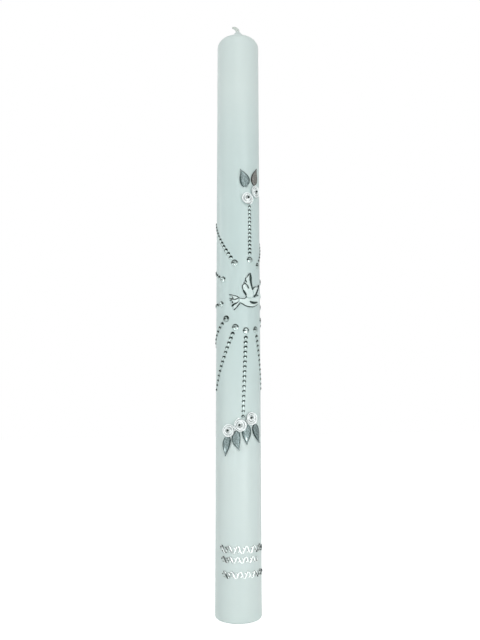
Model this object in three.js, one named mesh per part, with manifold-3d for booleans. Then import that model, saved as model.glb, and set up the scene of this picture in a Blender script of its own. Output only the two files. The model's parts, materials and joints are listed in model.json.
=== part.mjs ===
// A baptism candle, standing on its flat foot: a wax core with a wick, a smooth dipped coat, a dove in a ring of
// pearl rays, a garland of rolled roses and leaves below it and another above it, and three rows of silver line
// work near the foot. Millimetres, +Z along the candle, the origin in the middle of the foot, and the middle of
// the decoration facing -Y.

import * as THREE from 'three';
import { mergeVertices } from 'three/addons/utils/BufferGeometryUtils.js';
import Module from 'manifold-3d';

const wasm = await Module();
wasm.setup();

// Candle
const candleDiameter = 30;
const candleHeight = 404;        // to the point of the head, where the wick comes out
const headSlope = 28;            // degrees from level
const shoulderRadius = 4.5;
const footRadius = 1.5;
const coatThickness = 1;
const clearance = 0.3;           // between neighbouring pieces, and the film that holds a glued piece
const candleSides = 40;

// Wick
const wickDiameter = 2.6;
const wickRise = 7.6;            // its bent end above the head's point
const wickBend = 4.4;            // how far the end leans to the side
const wickBendDirection = 155;   // degrees round from +X
const wickTipDiameter = 0.8;
const collarDiameter = 9;        // where the coat starts to climb the wick
const collarRise = 2.8;
const collarWall = 0.35;

// Dove
const doveHeight = 0.51 * candleHeight;
const plateThickness = 0.6;
const lineThickness = 0.5;

// Rays
const rayRingWidth = 40;         // of the oval on which the start pearls lie, round the dove's middle
const rayRingHeight = 48.6;
const startPearlDiameter = 4.6;
const startPearlHeight = 0.55;
const firstBeadGap = 0.9;        // from the start pearl's edge to the first bead's
const beadDiameter = 2.9;        // of the first bead
const beadTaper = 0.045;         // lost from each bead's diameter to the next
const beadPitch = 3.25;          // from one bead's middle to the next
const beadHeight = 0.42;         // of the first bead, and less in step with the diameter
const smallestBead = 2;
const webWidth = 0.8;
const webThickness = 0.2;
const bareBack = 6;              // left free at the back of the candle

// Garlands
const lowerGarlandHeight = 0.298 * candleHeight;
const upperGarlandHeight = 0.6927 * candleHeight;
const roseDiameter = 8.8;
const roseFoot = 3;              // diameter of what is pressed onto the wax
const roseRim = 0.9;             // height of the outer petals' lower edge
const roseHeight = 2;
const roseCup = 0.7;             // height of the hollow that holds the centre bead
const centreBeadDiameter = 1.5;
const leafLength = 12.6;
const leafEdge = 0.35;           // thickness at the edge
const leafCrown = 0.8;           // height of the domed middle
const leafRib = 0.15;            // depth of the groove along the middle
const leafCurl = 0.55;           // how far the tip lifts

// Line work
const topRowHeight = 0.108 * candleHeight;
const topRowStart = -19.4;       // round the candle from the decoration's middle
const topRowLength = 33;
const topRowWave = 4.2;          // from crest to trough
const middleRowDrop = 6.1;       // below the top row
const middleRowStart = -18;
const middleRowLength = 24.6;
const middleRowWave = 3.4;
const bottomRowDrop = 15;
const bottomRowStart = -17.2;
const bottomRowLength = 31;
const bottomRowWave = 3.8;
const rowLineWidth = 0.75;
const rowLineThickness = 0.4;

const candleRadius = candleDiameter / 2;
const degree = Math.PI / 180;
const wrapStep = 3.3;            // longest reach round the candle of one flat facet

const candle = new THREE.Group();

const coatWax = () => new THREE.MeshStandardMaterial({ color: 0xd1e0dc, roughness: 0.32, metalness: 0 });
const coreWax = () => new THREE.MeshStandardMaterial({ color: 0xe6e4d6, roughness: 0.5, metalness: 0 });
const cotton = () => new THREE.MeshStandardMaterial({ color: 0xd6dcd6, roughness: 0.8, metalness: 0 });
const whiteWax = () => new THREE.MeshStandardMaterial({ color: 0xe8efec, roughness: 0.35, metalness: 0 });
const silverWax = () => new THREE.MeshStandardMaterial({ color: 0x8b9594, roughness: 0.28, metalness: 0.9 });
const darkSilver = () => new THREE.MeshStandardMaterial({ color: 0x4d5655, roughness: 0.3, metalness: 0.9 });

function piece(name, geometry, material, parent = candle) {
  const mesh = new THREE.Mesh(geometry, material);
  mesh.name = name;
  parent.add(mesh);
  return mesh;
}

// Solids for cutting and joining

function toSolid(geometry) {
  const bare = geometry.clone();
  bare.deleteAttribute('normal');
  bare.deleteAttribute('uv');
  const merged = mergeVertices(bare, 1e-5);
  const vertProperties = new Float32Array(merged.getAttribute('position').array);
  const triVerts = new Uint32Array(merged.getIndex().array);
  return new wasm.Manifold(new wasm.Mesh({ numProp: 3, vertProperties, triVerts }));
}

function toGeometry(solid) {
  const mesh = solid.getMesh();
  const geometry = new THREE.BufferGeometry();
  geometry.setAttribute('position', new THREE.BufferAttribute(new Float32Array(mesh.vertProperties), 3));
  geometry.setIndex(new THREE.BufferAttribute(new Uint32Array(mesh.triVerts), 1));
  return geometry;
}

// A closed body through rings with the same number of points, each running anticlockwise as seen from the last.
function loft(rings) {
  const count = rings[0].length;
  const index = [];
  for (let ring = 0; ring < rings.length - 1; ring++) {
    for (let point = 0; point < count; point++) {
      const next = (point + 1) % count;
      const a = ring * count + point;
      const b = ring * count + next;
      index.push(a, b, b + count, a, b + count, a + count);
    }
  }
  const last = (rings.length - 1) * count;
  for (let point = 1; point < count - 1; point++) {
    index.push(0, point + 1, point);
    index.push(last, last + point, last + point + 1);
  }
  return new THREE.BufferGeometry().setFromPoints(rings.flat()).setIndex(index);
}

// Splits each triangle that reaches too far round the candle, so that it can bend.
function splitAcross(geometry) {
  const points = geometry.index ? geometry.toNonIndexed() : geometry;
  const position = points.getAttribute('position');
  const waiting = [];
  for (let corner = 0; corner < position.count; corner += 3) {
    waiting.push([0, 1, 2].map((k) => new THREE.Vector3().fromBufferAttribute(position, corner + k)));
  }
  const kept = [];
  while (waiting.length) {
    const corners = waiting.pop();
    const reach = corners.map((from, k) => Math.abs(from.x - corners[(k + 1) % 3].x));
    const widest = reach.indexOf(Math.max(...reach));
    if (reach[widest] <= wrapStep) {
      kept.push(...corners);
      continue;
    }
    const [a, b, c] = [0, 1, 2].map((k) => corners[(widest + k) % 3]);
    const middle = a.clone().lerp(b, 0.5);
    waiting.push([a, middle, c], [middle, b, c]);
  }
  return new THREE.BufferGeometry().setFromPoints(kept);
}

// Lays a flat piece (x across, y up, z out) round the candle, on its film of glue.
function wrap(geometry) {
  const laid = splitAcross(geometry);
  const position = laid.getAttribute('position');
  for (let corner = 0; corner < position.count; corner++) {
    const turn = position.getX(corner) / candleRadius;
    const out = candleRadius + clearance + position.getZ(corner);
    position.setXYZ(corner, out * Math.sin(turn), -out * Math.cos(turn), position.getY(corner));
  }
  return laid;
}

// Presses a small flat-backed piece (its z pointing out) onto the candle.
function pressOn(mesh, across, up, out = 0) {
  const turn = new THREE.Group();
  turn.rotation.z = across / candleRadius;
  mesh.position.set(0, -(candleRadius + clearance + out), up);
  mesh.rotation.x = Math.PI / 2;
  turn.add(mesh);
  candle.add(turn);
}

// The core and its dipped coat share one outline, the outer skin moved in by an inset.
const headTangent = Math.tan(headSlope * degree);
const wickHoleRadius = wickDiameter / 2 + clearance;

function arc(centreRadius, centreHeight, radius, from, to, steps) {
  const points = [];
  for (let step = 0; step <= steps; step++) {
    const angle = (from + (to - from) * step / steps) * degree;
    points.push(new THREE.Vector2(centreRadius + radius * Math.cos(angle), centreHeight + radius * Math.sin(angle)));
  }
  return points;
}

function coneHeight(radius, inset) {
  return candleHeight - inset / Math.cos(headSlope * degree) - radius * headTangent;
}

function skin(inset, innerEnd) {
  const foot = Math.max(footRadius - inset, 0.1);
  const shoulder = Math.max(shoulderRadius - inset, 0.1);
  const wall = candleRadius - inset;
  const shoulderTop = coneHeight(wall, inset) - shoulder * Math.tan((90 - headSlope) / 2 * degree);
  return [
    ...arc(wall - foot, inset + foot, foot, -90, 0, 3),
    ...arc(wall - shoulder, shoulderTop, shoulder, 0, 90 - headSlope, 4),
    new THREE.Vector2(innerEnd, coneHeight(innerEnd, inset)),
  ];
}

function turned(profile) {
  return new THREE.LatheGeometry(profile, candleSides).rotateX(Math.PI / 2);
}

function dipCoat() {
  const collarEdge = collarDiameter / 2;
  const collarTop = candleHeight + collarRise;
  const collarRadius = wickHoleRadius + collarWall;
  const collarFoot = coneHeight(collarEdge, 0);
  return turned([
    new THREE.Vector2(0, 0),
    ...skin(0, collarEdge),
    new THREE.Vector2((collarEdge + 2 * collarRadius) / 3, (2 * collarFoot + collarTop) / 3),
    new THREE.Vector2(collarRadius, collarTop),
    new THREE.Vector2(wickHoleRadius, collarTop),
    ...skin(coatThickness, wickHoleRadius).reverse(),
    new THREE.Vector2(0, coatThickness),
  ]);
}

function waxCore() {
  const inset = coatThickness + clearance;
  const channelFoot = new THREE.Vector2(wickHoleRadius, inset);
  return turned([channelFoot, ...skin(inset, wickHoleRadius), channelFoot.clone()]);
}

piece('dip_coat', dipCoat(), coatWax());
piece('wax_core', waxCore(), coreWax());

// The wick runs straight up the core, then bends over to a waxed point.
function wickBody() {
  const lean = new THREE.Vector2(Math.cos(wickBendDirection * degree), Math.sin(wickBendDirection * degree));
  const sides = 10;
  const steps = 6;
  const free = new THREE.QuadraticBezierCurve(
    new THREE.Vector2(0, candleHeight + collarRise),
    new THREE.Vector2(0, candleHeight + collarRise + 0.75 * (wickRise - collarRise)),
    new THREE.Vector2(wickBend, candleHeight + wickRise),
  );
  const ring = (side, height, tilt, radius) => Array.from({ length: sides }, (_, k) => {
    const turn = 2 * Math.PI * k / sides;
    const along = side + radius * Math.cos(turn) * Math.cos(tilt);
    const acrossLean = radius * Math.sin(turn);
    return new THREE.Vector3(
      along * lean.x - acrossLean * lean.y,
      along * lean.y + acrossLean * lean.x,
      height - radius * Math.cos(turn) * Math.sin(tilt),
    );
  });
  const rings = [ring(0, coatThickness + clearance, 0, wickDiameter / 2)];
  for (let step = 0; step <= steps; step++) {
    const share = step / steps;
    const at = free.getPoint(share);
    const heading = free.getTangent(share);
    const narrowing = Math.max(0, share - 0.2) / 0.8;
    const diameter = THREE.MathUtils.lerp(wickDiameter, wickTipDiameter, narrowing ** 2);
    rings.push(ring(at.x, at.y, Math.atan2(heading.x, heading.y), diameter / 2));
  }
  return loft(rings);
}

piece('wick', wickBody(), cotton());

// Dove: flat points are measured from the dove's middle. A line is a stroke that widens and narrows through its
// points, each [across, up, width]. A plate is cut back from every line by the clearance.
const doveLines = {
  dove_line_near_wing: [[1.8, 14.4, 1.1], [2.1, 12.3, 2], [2.1, 10.2, 1.9], [2.4, 8.3, 1.7], [2.9, 6.3, 1.4],
    [3.35, 4.3, 0.9]],
  dove_line_feather: [[-2, 7.9, 0.5], [-1.1, 6.9, 0.7], [-0.3, 6.1, 1], [0.2, 5.2, 1], [0.6, 4.2, 0.5]],
  dove_line_wing_root: [[-3.2, 3.2, 0.7], [-2.5, 1.9, 1.3], [-1.7, 0.6, 1.2], [-1.1, -0.6, 0.7]],
  dove_line_far_wing: [[4.8, -1, 0.7], [5.6, -0.2, 1.2], [6.7, 1.2, 1.3], [7.9, 2.9, 1.4], [9, 4.7, 1.4],
    [10, 6.6, 1.2], [10.7, 8.3, 0.6]],
  dove_line_breast: [[1.5, -4.2, 1], [2.4, -4.8, 1.5], [3.8, -5.05, 1.8], [5.4, -4.9, 1.6], [7, -4.5, 1.2],
    [8.8, -3.9, 0.5]],
  dove_line_tail: [[-10.9, -7.9, 1.1], [-10, -7.4, 1.5], [-9.2, -6.7, 1.3], [-8.2, -6.2, 1], [-7.3, -5.8, 0.5]],
};

function flatPiece(points, thickness) {
  const shape = new THREE.Shape(points);
  return new THREE.ExtrudeGeometry(shape, { depth: thickness, bevelEnabled: false });
}

function strokeOutline(stroke, margin) {
  const path = new THREE.SplineCurve(stroke.map(([across, up]) => new THREE.Vector2(across, up)));
  const left = [];
  const right = [];
  const steps = 2 * (stroke.length - 1);
  for (let step = 0; step <= steps; step++) {
    const share = step / steps;
    const at = path.getPoint(share);
    const heading = path.getTangent(share);
    const before = Math.floor(share * (stroke.length - 1));
    const after = Math.min(before + 1, stroke.length - 1);
    const width = THREE.MathUtils.lerp(stroke[before][2], stroke[after][2], share * (stroke.length - 1) - before);
    const side = new THREE.Vector2(-heading.y, heading.x).multiplyScalar(width / 2 + margin);
    const overrun = step === 0 ? -margin : step === steps ? margin : 0;
    at.addScaledVector(heading, overrun);
    left.unshift(at.clone().add(side));
    right.push(at.clone().sub(side));
  }
  return [...right, ...left];
}

// Points of an outline: [x, y] is a corner, and a list of those is a round stretch through them.
function outline(stretches) {
  return stretches.flatMap((stretch) => {
    if (!Array.isArray(stretch[0])) {
      return [new THREE.Vector2(...stretch)];
    }
    const curve = new THREE.SplineCurve(stretch.map((point) => new THREE.Vector2(...point)));
    return curve.getPoints(2 * (stretch.length - 1));
  });
}

const dovePlates = {
  dove_body: outline([
    [-5.4, -5.5],
    [[-5, -5.7], [-3.5, -6.4], [-2, -7.3], [0.3, -7.9], [2.4, -7.9], [4.6, -7.5], [7.2, -6.3], [9.9, -4.4],
      [12.6, -1.3]],
    [14, -0.4],
    [16.4, 0.3],
    [[14.5, 1.4], [13, 2.5], [11.2, 2.3], [9.2, 0.9], [7, -0.6]],
    [[4.9, -1.5], [3, -1.9], [0.9, -2.4], [-1, -2]],
    [[-2, -2.7], [-3.5, -3], [-4.9, -2.8], [-6.1, -2.4]],
  ]),
  dove_near_wing: outline([
    [[-0.8, -1], [-1.7, 0.6], [-2.5, 1.9], [-3.3, 3.2]],
    [-3.7, 4.3],
    [-3.7, 5.6],
    [-3.2, 6.8],
    [-2.6, 6.9],
    [-2.5, 8.6],
    [-1.9, 8.8],
    [-1.2, 11.7],
    [-0.4, 11.9],
    [0.9, 14.2],
    [[1.9, 14], [2.1, 12.3], [2.1, 10.2], [2.4, 8.3], [2.9, 6.3], [3.35, 4.3]],
    [4.5, 1],
    [[3, -1.5], [0.9, -2], [-0.5, -1.6]],
  ]),
  dove_far_wing: outline([
    [5.2, -0.6],
    [[5.6, -0.2], [6.7, 1.2], [7.9, 2.9], [9, 4.7], [9.9, 6.4]],
    [[9.3, 6.6], [8.2, 6.2], [6.9, 6.2], [5.3, 5.6]],
    [4.4, 4.4],
    [4.9, 1],
  ]),
  dove_tail: outline([
    [-5.8, -5.9],
    [[-6.5, -2.2], [-7.6, -1.5], [-9.4, -0.9], [-12.5, 0.1]],
    [-10.7, -1.5],
    [-12.1, -2.5],
    [-10.6, -3.1],
    [-12, -4.1],
    [-10.4, -4.6],
    [-11.3, -5.9],
    [-10, -6.2],
    [-10.9, -8.2],
    [-9.5, -8.4],
    [-9.3, -10.6],
    [-7.4, -8.2],
  ]),
};

const dove = new THREE.Group();
dove.position.z = doveHeight;
candle.add(dove);

for (const [name, stroke] of Object.entries(doveLines)) {
  piece(name, wrap(flatPiece(strokeOutline(stroke, 0), lineThickness)), darkSilver(), dove);
}
for (const [name, points] of Object.entries(dovePlates)) {
  let plate = toSolid(flatPiece(points, plateThickness));
  for (const stroke of Object.values(doveLines)) {
    const groove = flatPiece(strokeOutline(stroke, clearance), plateThickness + 2).translate(0, 0, -1);
    plate = plate.subtract(toSolid(groove));
  }
  piece(name, wrap(toGeometry(plate)), whiteWax(), dove);
}

// Garlands: each rose by its place (across and up from its garland's middle) and how far its heart is rolled off its
// own middle, and each leaf by the place of its base, its heading in degrees, how far its middle bows to the left of
// that heading, and its width.
const garlands = [
  {
    name: 'lower',
    height: lowerGarlandHeight,
    roses: [[-12.4, -3.8, -0.4, 0.4], [-5, -0.1, -1, 0.1], [2, 4.3, -0.8, 0.2]],
    leaves: [
      [-13.2, -7.1, 263.3, -0.65, 5.3],
      [-7.4, -3.8, 278, -1.25, 5.3],
      [-1, 0, 269, -0.1, 5.9],
      [4.6, 0.5, 289, 0, 5.6],
    ],
  },
  {
    name: 'upper',
    height: upperGarlandHeight,
    roses: [[-0.6, -6.9, 0.7, 0.7], [6.3, -0.8, 0, 0.2]],
    leaves: [
      [-1.6, 1.7, 105.8, -1.1, 7],
      [5.1, 4.2, 79.5, 0.2, 5.6],
    ],
  },
];

const roses = garlands.flatMap(({ height, roses: places }) => places.map(([x, up]) => [x, height + up]));

// A rolled rose: three rounds of petals, each set in and standing higher than the one outside it, with its heart
// off the middle.
function roseBody(heartAcross, heartUp) {
  const around = 14;
  const radius = roseDiameter / 2;
  const rounds = [
    [roseFoot / 2, 0, 0],
    [radius, roseRim, 0.02],
    [0.97 * radius, 0.6 * roseHeight, 0.02],
    [0.76 * radius, 0.52 * roseHeight, 0.02],
    [0.66 * radius, 0.85 * roseHeight, 0.04],
    [0.46 * radius, 0.72 * roseHeight, 0.04],
    [0.38 * radius, roseHeight, 0.05],
    [0.2 * radius, roseCup, 0],
  ];
  return loft(rounds.map(([size, height, wave], round) => Array.from({ length: around }, (_, k) => {
    const turn = 2 * Math.PI * k / around;
    const spread = size * (1 + wave * (Math.cos(5 * turn + round) - 1));
    const shift = round === 0 ? 0 : Math.min(1, 1.25 * (1 - size / radius));
    return new THREE.Vector3(
      shift * heartAcross + spread * Math.cos(turn),
      shift * heartUp + spread * Math.sin(turn),
      height,
    );
  })));
}

// A domed leaf with a sharp tip that lifts off the wax, pointing along +x before it is turned to its heading.
function leafBody(heading, bow, width) {
  const steps = 7;
  const rings = [];
  for (let step = 0; step <= steps; step++) {
    const share = step / steps;
    const half = width / 2 * Math.max(Math.sin(Math.PI * share ** 0.65) ** 0.85, step === 0 ? 0.4 : 0.08);
    const lift = leafCurl * Math.max(0, share - 0.6) ** 2 / 0.16;
    const dome = leafEdge + (leafCrown - leafEdge) * Math.sin(Math.PI * share) ** 0.8;
    const along = leafLength * share;
    const middle = bow * Math.sin(Math.PI * share);
    rings.push([
      new THREE.Vector3(along, middle + half, lift),
      new THREE.Vector3(along, middle + half, lift + leafEdge),
      new THREE.Vector3(along, middle + half / 2, lift + 0.9 * dome),
      new THREE.Vector3(along, middle, lift + Math.max(dome - leafRib, leafEdge)),
      new THREE.Vector3(along, middle - half / 2, lift + 0.9 * dome),
      new THREE.Vector3(along, middle - half, lift + leafEdge),
      new THREE.Vector3(along, middle - half, lift),
      new THREE.Vector3(along, middle, lift),
    ]);
  }
  return loft(rings).rotateZ(heading * degree);
}

for (const { name, height, roses: rosePlaces, leaves } of garlands) {
  rosePlaces.forEach(([across, up, heartAcross, heartUp], k) => {
    pressOn(piece(`rose_${name}_${k + 1}`, roseBody(heartAcross, heartUp), whiteWax()), across, height + up);
    const bead = new THREE.SphereGeometry(centreBeadDiameter / 2, 8, 4).rotateX(Math.PI / 2);
    bead.translate(heartAcross, heartUp, 0);
    const beadOut = roseCup + clearance + centreBeadDiameter / 2;
    pressOn(piece(`rose_bead_${name}_${k + 1}`, bead, darkSilver()), across, height + up, beadOut);
  });
  leaves.forEach(([across, up, heading, bow, width], k) => {
    const leaf = leafBody(heading, bow, width).translate(across, height + up, 0);
    piece(`leaf_${name}_${k + 1}`, wrap(leaf), silverWax());
  });
}

// Rays: each by where round the oval its start pearl lies, its heading (both in degrees from +x, anticlockwise),
// how many beads it has and how widely they are spaced, as a share of the pitch.
const rays = [
  [86, 90, 13, 0.84],
  [66, 60, 11, 0.985],
  [33, 32, 9, 0.985],
  [-17, -6, 7, 0.985],
  [-46, -40, 10, 0.985],
  [-74, -76, 12, 0.985],
  [-93, -92.3, 17, 0.985],
  [-111, -113, 13, 1.015],
  [-133, -136.5, 10, 1.045],
  [-163, 178, 7, 1.015],
  [148.5, 151, 9, 1.045],
  [112.5, 124, 11, 1.01],
].map(([place, heading, count, spread]) => {
  const [across, up] = [Math.cos(place * degree), Math.sin(place * degree)];
  const reach = 1 / Math.hypot(across / (rayRingWidth / 2), up / (rayRingHeight / 2));
  return {
    across: reach * across,
    up: doveHeight + reach * up,
    heading: heading * degree,
    count,
    pitch: spread * beadPitch,
  };
});

function halfPearl(diameter, height) {
  const radius = diameter / 2;
  const profile = [[0, 0], [radius, 0], [0.9 * radius, 0.5 * height], [0.55 * radius, 0.85 * height], [0, height]];
  return new THREE.LatheGeometry(profile.map((point) => new THREE.Vector2(...point)), 8).rotateX(Math.PI / 2);
}

// A bead may lie under a rose's outer petals, but not under its foot.
function clearOfRoses(across, up, radius) {
  return roses.every(([x, z]) => Math.hypot(across - x, up - z) > 0.45 * roseDiameter + radius);
}

// The beads of a ray: each [distance along it, radius], as many as fit before a rose or the back of the candle.
function rayBeads({ across: startAcross, up: startUp, heading, count, pitch }) {
  const beads = [];
  for (let bead = 0; bead < count; bead++) {
    const radius = Math.max(beadDiameter - beadTaper * bead, smallestBead) / 2;
    const along = startPearlDiameter / 2 + firstBeadGap + beadDiameter / 2 + pitch * bead;
    const across = startAcross + along * Math.cos(heading);
    const up = startUp + along * Math.sin(heading);
    const beyondBack = Math.abs(across) + radius > Math.PI * candleRadius - bareBack / 2;
    if (beyondBack || !clearOfRoses(across, up, radius)) {
      break;
    }
    beads.push([along, radius]);
  }
  return beads;
}

// A strip of half pearls on a web, along +x before it is turned to its heading.
function rayStrip(ray) {
  const ring = (along, half, height) => [
    new THREE.Vector3(along, half, 0),
    new THREE.Vector3(along, 0.6 * half, height),
    new THREE.Vector3(along, -0.6 * half, height),
    new THREE.Vector3(along, -half, 0),
  ];
  const rings = [];
  for (const [along, radius] of rayBeads(ray)) {
    const height = beadHeight * 2 * radius / beadDiameter;
    rings.push(ring(along - radius, webWidth / 2, webThickness));
    rings.push(ring(along - 0.6 * radius, 0.9 * radius, height));
    rings.push(ring(along + 0.6 * radius, 0.9 * radius, height));
    rings.push(ring(along + radius, webWidth / 2, webThickness));
  }
  return loft(rings).rotateZ(ray.heading).translate(ray.across, ray.up, 0);
}

rays.forEach((ray, k) => {
  const number = String(k + 1).padStart(2, '0');
  const startPearl = halfPearl(startPearlDiameter, startPearlHeight);
  pressOn(piece(`pearl_${number}`, startPearl, silverWax()), ray.across, ray.up);
  piece(`ray_${number}`, wrap(rayStrip(ray)), silverWax());
});

// Line work: rows of a running wave with a hook in each hollow.
const rows = [
  { name: 'top', start: topRowStart, drop: 0, length: topRowLength, wave: topRowWave, waves: 6 },
  {
    name: 'middle',
    start: middleRowStart,
    drop: middleRowDrop,
    length: middleRowLength,
    wave: middleRowWave,
    waves: 5,
  },
  {
    name: 'bottom',
    start: bottomRowStart,
    drop: bottomRowDrop,
    length: bottomRowLength,
    wave: bottomRowWave,
    waves: 6,
  },
];

function wireAlong(points) {
  const curve = points.map(([x, y]) => new THREE.Vector2(x, y));
  return loft(curve.map((at, k) => {
    const ahead = curve[Math.min(k + 1, curve.length - 1)];
    const behind = curve[Math.max(k - 1, 0)];
    const heading = ahead.clone().sub(behind).normalize();
    const side = new THREE.Vector2(-heading.y, heading.x).multiplyScalar(rowLineWidth / 2);
    return [
      new THREE.Vector3(at.x + side.x, at.y + side.y, 0),
      new THREE.Vector3(at.x, at.y, rowLineThickness),
      new THREE.Vector3(at.x - side.x, at.y - side.y, 0),
    ];
  }));
}

function scrollRow({ length, wave, waves }) {
  const pitch = length / waves;
  const steps = 6 * waves;
  const stem = Array.from({ length: steps + 1 }, (_, k) => {
    return [length * k / steps, wave / 2 * Math.sin(2 * Math.PI * k / 6)];
  });
  let row = toSolid(wireAlong(stem));
  for (let half = 0; half < 2 * waves; half++) {
    const side = half % 2 === 0 ? 1 : -1;
    const middle = pitch * (half / 2 + 0.25);
    const hook = Array.from({ length: 4 }, (_, k) => {
      const turn = (90 - 62 * k) * degree;
      const reach = 1.02 - 0.15 * k;
      return [middle + pitch * 0.28 * reach * Math.cos(turn), side * wave / 2 * reach * Math.sin(turn)];
    });
    row = row.add(toSolid(wireAlong(hook)));
  }
  return toGeometry(row);
}

for (const row of rows) {
  const geometry = scrollRow(row).translate(row.start, topRowHeight - row.drop, 0);
  piece(`scroll_${row.name}`, wrap(geometry), silverWax());
}

export default candle;
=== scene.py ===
# The looks of a baptism candle: a pale dipped candle with a dove in a ring of pearl rays, two garlands of
# rolled roses and leaves, and three rows of silver line work near the foot. Shapes are drawn in
# millimetres, with the middle of the decoration facing -Y, and go to metres when they are finished.
import json
import math

import bmesh
import bpy
from mathutils import Matrix, Vector, noise

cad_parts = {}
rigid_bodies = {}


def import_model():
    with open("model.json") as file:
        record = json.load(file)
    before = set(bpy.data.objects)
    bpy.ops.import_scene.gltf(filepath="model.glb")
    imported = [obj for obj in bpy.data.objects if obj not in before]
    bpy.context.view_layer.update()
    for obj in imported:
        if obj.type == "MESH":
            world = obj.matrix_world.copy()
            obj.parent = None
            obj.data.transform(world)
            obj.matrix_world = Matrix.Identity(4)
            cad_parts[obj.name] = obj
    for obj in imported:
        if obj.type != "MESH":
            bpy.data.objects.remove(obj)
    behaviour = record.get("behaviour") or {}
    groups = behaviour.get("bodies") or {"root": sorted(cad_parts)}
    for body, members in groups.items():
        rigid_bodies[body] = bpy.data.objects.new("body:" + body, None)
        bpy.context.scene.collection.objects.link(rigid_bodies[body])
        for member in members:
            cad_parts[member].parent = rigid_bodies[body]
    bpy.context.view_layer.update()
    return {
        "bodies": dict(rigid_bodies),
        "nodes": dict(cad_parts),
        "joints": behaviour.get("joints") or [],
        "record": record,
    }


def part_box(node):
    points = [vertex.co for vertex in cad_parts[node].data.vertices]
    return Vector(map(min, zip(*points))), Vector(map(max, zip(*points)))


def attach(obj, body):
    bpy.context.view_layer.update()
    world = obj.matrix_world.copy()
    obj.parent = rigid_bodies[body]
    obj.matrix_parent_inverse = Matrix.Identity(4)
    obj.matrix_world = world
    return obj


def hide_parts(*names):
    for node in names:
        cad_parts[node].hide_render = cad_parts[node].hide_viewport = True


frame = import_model()
mm = 0.001


# The room: a plain white floor and background round the candle, and a camera at the height of the candle's
# lower third, turned 25 degrees to the left of the decoration's middle and looking slightly up.
camera_azimuth = -25
camera_distance = 406.7
camera_height = 126.6
camera_pitch = 9.02
camera_yaw = -0.163
camera_roll = 0.089
lens_length = 33.75
film_side = 36
floor_side = 6

scene = bpy.context.scene
scene.view_settings.view_transform = "Standard"
azimuth = math.radians(camera_azimuth)
camera_data = bpy.data.cameras.new("camera")
camera_data.lens = lens_length
camera_data.sensor_width = film_side
camera_data.clip_start = 0.01
camera = bpy.data.objects.new("camera", camera_data)
camera.location = Vector((
    camera_distance * math.sin(azimuth),
    -camera_distance * math.cos(azimuth),
    camera_height,
)) * mm
camera.rotation_euler = (
    math.radians(90 + camera_pitch),
    math.radians(camera_roll),
    azimuth + math.radians(camera_yaw),
)
scene.collection.objects.link(camera)
scene.camera = camera


class Value:
    """A number that a node gives, which Python's operators work on by adding Math nodes."""

    def __init__(self, nodes, socket):
        self.nodes = nodes
        self.socket = socket

    def maths(self, operation, first, second):
        return self.nodes.add("Math", {"operation": operation}, {0: first, 1: second})

    def __add__(self, other):
        return self.maths("ADD", self, other)

    def __radd__(self, other):
        return self.maths("ADD", other, self)

    def __sub__(self, other):
        return self.maths("SUBTRACT", self, other)

    def __rsub__(self, other):
        return self.maths("SUBTRACT", other, self)

    def __mul__(self, other):
        return self.maths("MULTIPLY", self, other)

    def __rmul__(self, other):
        return self.maths("MULTIPLY", other, self)


class Nodes:
    """The node tree of a material or of the world."""

    def __init__(self, tree):
        self.tree = tree
        tree.nodes.clear()

    def add(self, kind, settings=None, sockets=None, output=0):
        """Adds a node, its settings first and then its sockets, and gives one of its outputs."""
        node = self.tree.nodes.new("ShaderNode" + kind)
        for name, value in (settings or {}).items():
            if name == "stops":
                ramp = node.color_ramp.elements
                for place, colour in value[2:]:
                    ramp.new(place)
                for stop, (place, colour) in zip(ramp, value):
                    stop.position = place
                    stop.color = colour
            else:
                setattr(node, name, value)
        for name, value in (sockets or {}).items():
            if isinstance(value, Value):
                self.tree.links.new(value.socket, node.inputs[name])
            else:
                node.inputs[name].default_value = value
        return Value(self, node.outputs[output]) if node.outputs else None


def colour(red, green, blue):
    """A colour written in the everyday 0 to 255 steps."""
    def light(step):
        share = step / 255
        return share / 12.92 if share <= 0.04045 else ((share + 0.055) / 1.055) ** 2.4
    return (light(red), light(green), light(blue), 1)


background_white = (1, 1, 1, 1)
room_white = colour(236, 238, 238)
room_strength = 0.5
floor_glow = 0.72

world = bpy.data.worlds.new("room")
scene.world = world
world.use_nodes = True
sky = Nodes(world.node_tree)


def seen(nodes):
    """1 on rays from the camera and on those that mirror or pass through a surface, otherwise 0."""
    straight = nodes.add("LightPath", output=0)
    glossy = nodes.add("LightPath", output=3)
    through = nodes.add("LightPath", output=6)
    return straight + glossy + through


ambient = sky.add("Background", sockets={"Color": room_white, "Strength": room_strength})
backdrop = sky.add("Background", sockets={"Color": background_white, "Strength": 1})
shown = sky.add("MixShader", sockets={0: seen(sky), 1: ambient, 2: backdrop})
sky.add("OutputWorld", sockets={"Surface": shown})

floor_material = bpy.data.materials.new("floor_paint")
floor_material.use_nodes = True
paint = Nodes(floor_material.node_tree)
matt = paint.add("BsdfDiffuse", sockets={"Color": room_white})
glow = paint.add("Emission", sockets={"Color": background_white, "Strength": floor_glow})
lit = paint.add("AddShader", sockets={0: matt, 1: glow})
floor_surface = paint.add("MixShader", sockets={0: seen(paint), 1: matt, 2: lit})
paint.add("OutputMaterial", sockets={"Surface": floor_surface})

drawing = bmesh.new()
bmesh.ops.create_grid(drawing, x_segments=1, y_segments=1, size=floor_side / 2)
floor_mesh = bpy.data.meshes.new("floor")
drawing.to_mesh(floor_mesh)
drawing.free()
floor_mesh.materials.append(floor_material)
floor = bpy.data.objects.new("floor", floor_mesh)
scene.collection.objects.link(floor)


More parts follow.
